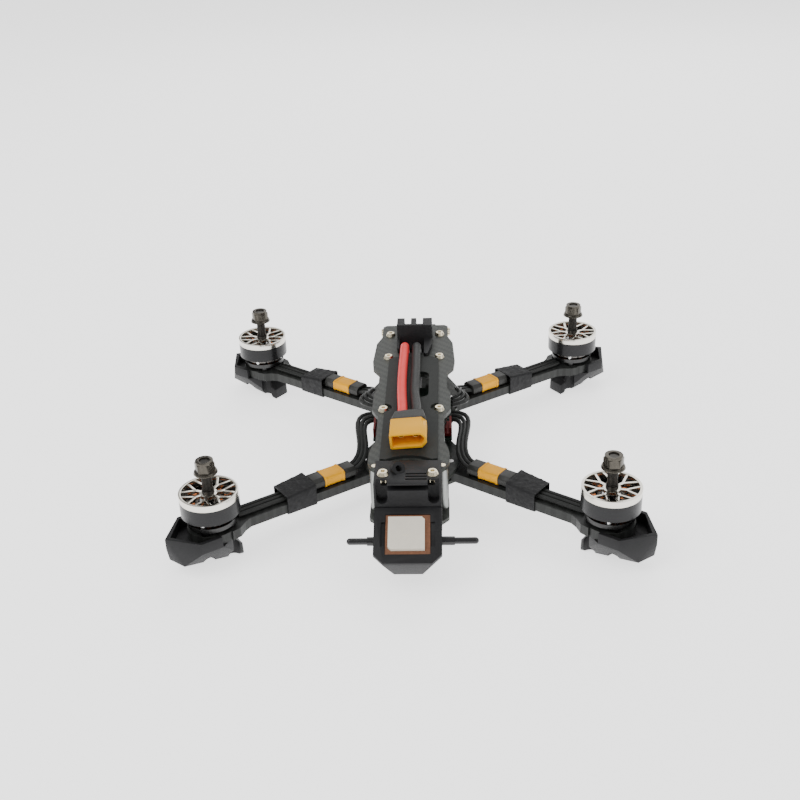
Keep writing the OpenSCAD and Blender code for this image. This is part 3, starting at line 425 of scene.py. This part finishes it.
# Feet: printed soft-plastic cups under the motors, black, with the faint lines of
# their layers. Each is held by the motor's own screws.
def retrace(name, node, edge=0.35, body="airframe", finish=None, segments=2):
    """A copy of a CAD piece, merged and cleared of flat edges, with its corners rounded."""
    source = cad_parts[node]
    piece = source.copy()
    piece.data = source.data.copy()
    piece.name = name
    piece.parent = None
    for key in list(piece.keys()):
        del piece[key]
    bpy.context.scene.collection.objects.link(piece)
    bpy.ops.object.select_all(action="DESELECT")
    piece.hide_viewport = piece.hide_render = False
    piece.select_set(True)
    bpy.context.view_layer.objects.active = piece
    bpy.ops.object.mode_set(mode="EDIT")
    bpy.ops.mesh.select_all(action="SELECT")
    bpy.ops.mesh.remove_doubles(threshold=0.002 * mm)
    bpy.ops.mesh.dissolve_limited(angle_limit=math.radians(1))
    bpy.ops.object.mode_set(mode="OBJECT")
    round_edges(piece, edge * mm, segments, 32)
    smooth(piece, 32)
    dress(piece, finish)
    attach(piece, body)
    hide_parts(node)
    return piece


printed = material("printed_rubber", (0.014, 0.014, 0.015), 0.52, layers=0.3 * mm, relief=0.25,
                   height=0.00008, mottle=0.25, uneven=0.08)
retrace("motor_feet", "feet", 0.5, finish=printed)

# Speed controller: a four-in-one green-black board on the mid plate with soldered
# pads, switching chips, a red anodised heat sink and one large capacitor.
board = material("board", (0.012, 0.022, 0.016), 0.38, mottle=0.35, cloud=900, grain=1600)
chips = material("chips", (0.015, 0.015, 0.016), 0.5, mottle=0.2, cloud=1200)
red_anodised = material("red_anodised", (0.10, 0.010, 0.010), 0.4, 1.0, mottle=0.15)
sleeve_film = material("sleeve_film", (0.020, 0.022, 0.030), 0.25, coat=0.4)
grip = material("grip_rubber", (0.020, 0.022, 0.020), 0.62, mottle=0.2, cloud=400, relief=0.3,
                grain=3800)
wear(board, "esc_board", "flight_controller", "radio_receiver")
wear(chips, "esc_mosfets")
wear(red_anodised, "esc_heat_sink")
wear(sleeve_film, "esc_capacitor")
wear(grip, "stack_dampers", "battery_pad")
wear(black_silicone, "stack_cable", "phase_wires", "motor_wires")

# Video transmitter and camera: a dark finned aluminium case behind the stack, and a
# small square plastic camera with a coated glass lens held between the side plates.
dark_case = material("dark_case", (0.045, 0.045, 0.048), 0.4, 1.0, mottle=0.2)
camera_plastic = material("camera_plastic", (0.018, 0.018, 0.019), 0.45, mottle=0.2)
lens_glass = material("lens_glass", (0.010, 0.010, 0.014), 0.08, coat=1.0, relief=0.0, uneven=0.02)
wear(dark_case, "video_transmitter")
wear(camera_plastic, "fpv_camera")
wear(lens_glass, "fpv_lens")

# Motor bases and stators: black machined aluminium crosses with bright edges, a stack
# of steel laminations on each, wound with enamelled copper, and two ball bearings.
base_metal = material("base_metal", (0.055, 0.055, 0.055), 0.32, 1.0, mottle=0.2, cloud=500)
laminations = material("laminations", (0.20, 0.19, 0.18), 0.42, 1.0, layers=0.35 * mm, relief=0.4)
enamel = material("enamel", (0.62, 0.20, 0.07), 0.3, 1.0, stretch=(1, 1, 6), grain=2200, relief=0.5,
                  height=0.0003, coat=0.4)
bearing = material("bearing", (0.6, 0.6, 0.6), 0.25, 1.0)
stud_out, stud_tall, stud_r = 10.3 * mm, 1.9 * mm, 1.25 * mm
base_above_shaft_end = 1.6 * mm
for corner in ("front_right", "front_left", "rear_left", "rear_right"):
    low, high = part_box("shaft_" + corner)
    axis = Vector((
        (low[0] + high[0]) / 2, (low[1] + high[1]) / 2, low[2] + base_above_shaft_end,
    ))
    studs = []
    for k in range(4):
        turn = math.radians(-12 + 90 * k)
        bpy.ops.object.select_all(action="DESELECT")
        place = axis + Vector((math.cos(turn) * stud_out, math.sin(turn) * stud_out, stud_tall / 2))
        bpy.ops.mesh.primitive_cylinder_add(
            vertices=20, radius=stud_r, depth=stud_tall, location=place,
        )
        stud = bpy.context.object
        bpy.ops.object.transform_apply(location=True, rotation=True, scale=True)
        pick_faces(stud, lambda at, out: out.z > 0.9)
        bpy.ops.mesh.inset(thickness=0.45 * mm)
        bpy.ops.mesh.extrude_region_move(TRANSFORM_OT_translate={"value": (0, 0, -0.4 * mm)})
        leave()
        round_edges(stud, 0.12 * mm)
        studs.append(stud)
    bpy.ops.object.select_all(action="DESELECT")
    for stud in studs:
        stud.select_set(True)
    bpy.context.view_layer.objects.active = studs[0]
    bpy.ops.object.join()
    studs[0].name = "base_studs_" + corner
    smooth(studs[0])
    dress(studs[0], bright_steel)
    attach(studs[0], "airframe")
wear(base_metal, "motor_bases")
wear(laminations, "stator_cores")
wear(enamel, "stator_windings")
wear(bearing, "motor_bearings")

# Rotors: a polished bell with Y-shaped spokes over a satin black magnet can, on a
# hardened shaft that ends in a thread, with a flanged lock nut run down it.
chrome = material("chrome", (0.74, 0.71, 0.64), 0.2, 1.0, mottle=0.05, uneven=0.06, relief=0.05)
can_black = material("can_black", (0.016, 0.016, 0.017), 0.36, 0.6, stretch=(1, 1, 10), mottle=0.2,
                     coat=0.2)
thread_steel = material("thread_steel", (0.055, 0.052, 0.048), 0.35, 1.0, layers=0.8 * mm, relief=0.8,
                        height=0.0002)
bronzed = material("bronzed", (0.085, 0.078, 0.066), 0.27, 1.0, mottle=0.25, cloud=500)
corners = ["front_right", "front_left", "rear_left", "rear_right"]
bell_low, bell_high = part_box("bell_front_right")
rim_r = (bell_high[0] - bell_low[0]) / 2
rim_h = 3.4 * mm
rim_wall = 1.3 * mm
hub_r, hub_h, hub_mid_z = 4.3 * mm, 1.9 * mm, 1.45 * mm
stem_wide, limb_wide, limb_h = 1.7 * mm, 1.25 * mm, 1.7 * mm

bpy.ops.object.select_all(action="DESELECT")
bpy.ops.mesh.primitive_cylinder_add(vertices=72, radius=rim_r, depth=rim_h, location=(0, 0, rim_h / 2))
rim = bpy.context.object
bpy.ops.object.transform_apply(location=True, rotation=True, scale=True)
pick_faces(rim, lambda at, out: out.z > 0.9)
bpy.ops.mesh.inset(thickness=rim_wall)
bpy.ops.mesh.extrude_region_move(TRANSFORM_OT_translate={"value": (0, 0, -rim_h)})
bpy.ops.mesh.select_all(action="SELECT")
bpy.ops.mesh.remove_doubles(threshold=0.001 * mm)
leave()
pick_faces(rim, lambda at, out: abs(out.z) > 0.9 and at.xy.length < rim_r - 1.2 * rim_wall)
bpy.ops.mesh.delete(type="FACE")
leave()
pick_faces(rim, lambda at, out: out.z < -0.9)
bpy.ops.mesh.delete(type="FACE")
leave()
pick_edges(rim, lambda at, way: abs(at.z) < 1e-6)
bpy.ops.mesh.bridge_edge_loops()
leave()

bpy.ops.object.select_all(action="DESELECT")
bpy.ops.mesh.primitive_cylinder_add(
    vertices=36, radius=hub_r, depth=hub_h, location=(0, 0, hub_mid_z),
)
hub = bpy.context.object
bpy.ops.object.transform_apply(location=True, rotation=True, scale=True)
arms = [hub]
fork_at, rim_at = 7.6 * mm, rim_r - 0.8 * mm


def spoke(start, end, wide, turn):
    """One straight limb of a spoke, low at the hub and high at the rim."""
    reach = (Vector(end) - Vector(start)).length
    limb = box("limb", (0, -wide / 2, 0), (reach, wide / 2, limb_h))
    heading = math.atan2(end[1] - start[1], end[0] - start[0])
    settle(limb, (0, 0, heading), (start[0], start[1], 0))
    for point in limb.data.vertices:
        point.co.z += (0.7 + 0.75 * min(1, max(0, (point.co.xy.length - 4 * mm) / (9 * mm)))) * mm
    settle(limb, (0, 0, turn), (0, 0, 0))
    return limb


for k in range(7):
    turn = math.tau * k / 7
    arms.append(spoke((3.6 * mm, 0), (fork_at + 0.4 * mm, 0), stem_wide, turn))
    for side in (-1, 1):
        start = (fork_at - 0.6 * mm, 0.25 * side * mm)
        end = (rim_at - 0.7 * mm, 3.9 * side * mm)
        arms.append(spoke(start, end, limb_wide, turn))
for piece in [rim, *arms]:
    round_edges(piece, 0.16 * mm)
bpy.ops.object.select_all(action="DESELECT")
for piece in [rim, *arms]:
    piece.select_set(True)
bpy.context.view_layer.objects.active = rim
bpy.ops.object.join()
first_bell = rim
smooth(first_bell)
turns_of = {"front_right": 20, "front_left": 8, "rear_left": 12, "rear_right": 33}
for corner in corners:
    rotor = "rotor_" + corner
    turn = turns_of[corner]
    bell = first_bell.copy()
    bell.data = first_bell.data.copy()
    bell.name = "spoked_bell_" + corner
    bpy.context.scene.collection.objects.link(bell)
    low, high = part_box("bell_" + corner)
    crown = ((low[0] + high[0]) / 2, (low[1] + high[1]) / 2, high[2] - rim_h)
    settle(bell, (0, 0, math.radians(turn)), crown)
    dress(bell, chrome)
    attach(bell, rotor)
    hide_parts("bell_" + corner)
    retrace("lock_nut_" + corner, "prop_nut_" + corner, 0.3, rotor, bronzed)
    wear(can_black, "can_" + corner)
    wear(thread_steel, "shaft_" + corner)
bpy.data.objects.remove(first_bell)

# Motor connectors: amber bullet-plug housings along each arm, with raised lips, and
# dark grey faceted covers over the soldered ends. Tape binds the outer end to the arm.
arm_out = Vector((0.8194, 0.5732, 0))
arm_root = Vector((0, 22, 0)) * mm
arm_top = 7 * mm
connector_wide = 9.8 * mm
signs = {"front_right": (1, 1), "front_left": (-1, 1), "rear_left": (-1, -1), "rear_right": (1, -1)}


def on_arm(piece, corner):
    """Puts a copy of a piece, drawn with the arm along +X from its root, on one arm."""
    twin = piece.copy()
    twin.data = piece.data.copy()
    twin.name = piece.name + "_" + corner
    bpy.context.scene.collection.objects.link(twin)
    sx, sy = signs[corner]
    angle = math.atan2(arm_out.y * sy, arm_out.x * sx)
    settle(twin, (0, 0, angle), (0, arm_root.y * sy, 0))
    return twin


near, far = 38 * mm, 62.5 * mm
cap_deep = 6.5 * mm
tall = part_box("motor_connectors")[1][2] - arm_top
amber = box("connector", (near + cap_deep, -connector_wide / 2, arm_top),
            (far - cap_deep, connector_wide / 2, arm_top + tall))
pick_edges(amber, lambda at, way: abs(way.x) > 0.9)
bpy.ops.mesh.bevel(offset=1.3 * mm, segments=3)
bpy.ops.mesh.select_all(action="SELECT")
bpy.ops.mesh.bisect(plane_co=(near + cap_deep + 1.1 * mm, 0, 0), plane_no=(1, 0, 0))
bpy.ops.mesh.select_all(action="SELECT")
bpy.ops.mesh.bisect(plane_co=(far - cap_deep - 1.1 * mm, 0, 0), plane_no=(1, 0, 0))
leave()
waist = (near + cap_deep + 1.2 * mm, far - cap_deep - 1.2 * mm)
pick_faces(amber, lambda at, out: abs(out.x) < 0.5 and waist[0] < at.x < waist[1])
bpy.ops.mesh.inset(thickness=0.12 * mm, depth=-0.28 * mm, use_boundary=True)
leave()
round_edges(amber, 0.12 * mm)
smooth(amber)
amber_mould = material("amber_mould", (0.92, 0.42, 0.008), 0.4, mottle=0.1, cloud=200, gloss=0.15)

cover = box("cover", (near, -connector_wide / 2, arm_top),
            (near + cap_deep, connector_wide / 2, arm_top + tall))
pick_edges(cover, lambda at, way: abs(way.x) > 0.9)
bpy.ops.mesh.bevel(offset=1.6 * mm, segments=1)
leave()
pick_faces(cover, lambda at, out: out.x < -0.9)
bpy.ops.mesh.extrude_region_move(TRANSFORM_OT_translate={"value": (0, 0, 0)})
bpy.ops.transform.resize(value=(1, 0.84, 0.84), center_override=(0, 0, arm_top))
leave()
round_edges(cover, 0.25 * mm)
smooth(cover, 25)

tape = box("tape", (far + 0.3 * mm, -7.6 * mm, 1.1 * mm), (far + 0.4 * mm, 7.6 * mm, arm_top + tall))
pick_edges(tape, lambda at, way: abs(way.x) > 0.9)
bpy.ops.mesh.bevel(offset=1.2 * mm, segments=3)
leave()
pick_faces(tape, lambda at, out: out.x > 0.9)
turns = 15
for k in range(turns):
    swell = (1.012, 0.985, 1.006, 0.992, 1.008)[k % 5]
    bpy.ops.mesh.extrude_region_move(TRANSFORM_OT_translate={"value": (16.1 / turns * mm, 0, 0)})
    bpy.ops.transform.resize(value=(1, swell * 0.9985, swell * 0.988), center_override=(0, 0, 1.1 * mm))
leave()
pick_faces(tape, lambda at, out: abs(out.x) > 0.9 and (at.x < far + 0.35 * mm or at.x > far + 16 * mm))
bpy.ops.mesh.delete(type="FACE")
leave()
wall = tape.modifiers.new("wall", "SOLIDIFY")
wall.thickness = 0.55 * mm
wall.offset = -1
bpy.context.view_layer.objects.active = tape
bpy.ops.object.modifier_apply(modifier=wall.name)
smooth(tape, 60)
tape_cloth = material("tape_cloth", (0.013, 0.013, 0.014), 0.6, mottle=0.35, cloud=500, relief=0.9,
                      height=0.0006, grain=420)
cover_grey = material("cover_grey", (0.034, 0.034, 0.032), 0.42, mottle=0.35, cloud=300)

for k, corner in enumerate(corners):
    for piece, finish, slot, node in [
        (amber, amber_mould, "amber_plastic", "motor_connectors"),
        (cover, cover_grey, "grey_plastic", "connector_caps"),
        (tape, tape_cloth, "sleeve_fabric", "arm_sleeves"),
    ]:
        twin = on_arm(piece, corner)
        dress(twin, finish)
        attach(twin, "airframe")
        if k == 0:
            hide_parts(node)
    outer = on_arm(cover, corner)
    outer.name = "outer_cover_" + corner
    sx, sy = signs[corner]
    centre = arm_root + arm_out * (near + far) / 2
    middle = Vector((centre.x * sx, centre.y * sy, 0))
    half_turn = Matrix.Rotation(math.pi, 4, "Z")
    bpy.ops.object.select_all(action="DESELECT")
    outer.select_set(True)
    bpy.context.view_layer.objects.active = outer
    outer.matrix_world = Matrix.Translation(middle) @ half_turn @ Matrix.Translation(-middle)
    bpy.ops.object.transform_apply(location=True, rotation=True, scale=True)
    dress(outer, cover_grey)
    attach(outer, "airframe")
for piece in (amber, cover, tape):
    bpy.data.objects.remove(piece)

# Nose mount and tail mount: printed soft plastic. The nose one has three prongs for
# an action camera's bolt, the tail one carries the positioning unit and the antenna.
retrace("camera_prongs", "action_camera_fork", 0.9, finish=printed, segments=3)
retrace("tail_mount", "rear_mount", 0.45, finish=printed)

# Positioning unit and antenna: a ceramic patch on a coppery board in the tail mount's
# cradle, and a glossy black dipole tube with two collars below the clamp.
copper_board = material("copper_board", (0.22, 0.10, 0.055), 0.4, mottle=0.3, cloud=700)
ceramic = material("ceramic", (0.86, 0.80, 0.68), 0.5, mottle=0.06, cloud=300)
tube_gloss = material("tube_gloss", (0.012, 0.012, 0.013), 0.22, coat=0.5, relief=0.05)
patch_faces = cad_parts["gps_patch"].data.polygons
patch = max(patch_faces, key=lambda face: face.area * (face.normal.z > 0.3))
patch_low, patch_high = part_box("gps_patch")
patch_up = patch.normal.copy()
patch_middle = Vector([(a + b) / 2 for a, b in zip(patch_low, patch_high)])
patch_middle += patch_up * (patch.center - patch_middle).dot(patch_up)
bpy.ops.object.select_all(action="DESELECT")
bpy.ops.mesh.primitive_cylinder_add(vertices=28, radius=0.95 * mm, depth=0.16 * mm)
feed = bpy.context.object
feed.name = "feed_pin"
pick_faces(feed, lambda at, out: out.z > 0.9)
bpy.ops.mesh.inset(thickness=0.3 * mm)
bpy.ops.mesh.extrude_region_move(TRANSFORM_OT_translate={"value": (0, 0, -0.1 * mm)})
leave()
round_edges(feed, 0.03 * mm)
smooth(feed)
settle(feed, patch_up.to_track_quat("Z", "Y").to_euler(), patch_middle + patch_up * 0.06 * mm)
solder = material("solder", (0.42, 0.36, 0.28), 0.4, 1.0)
dress(feed, solder)
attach(feed, "airframe")
wear(copper_board, "gps_board")
wear(ceramic, "gps_patch")
wear(tube_gloss, "receiver_antenna")
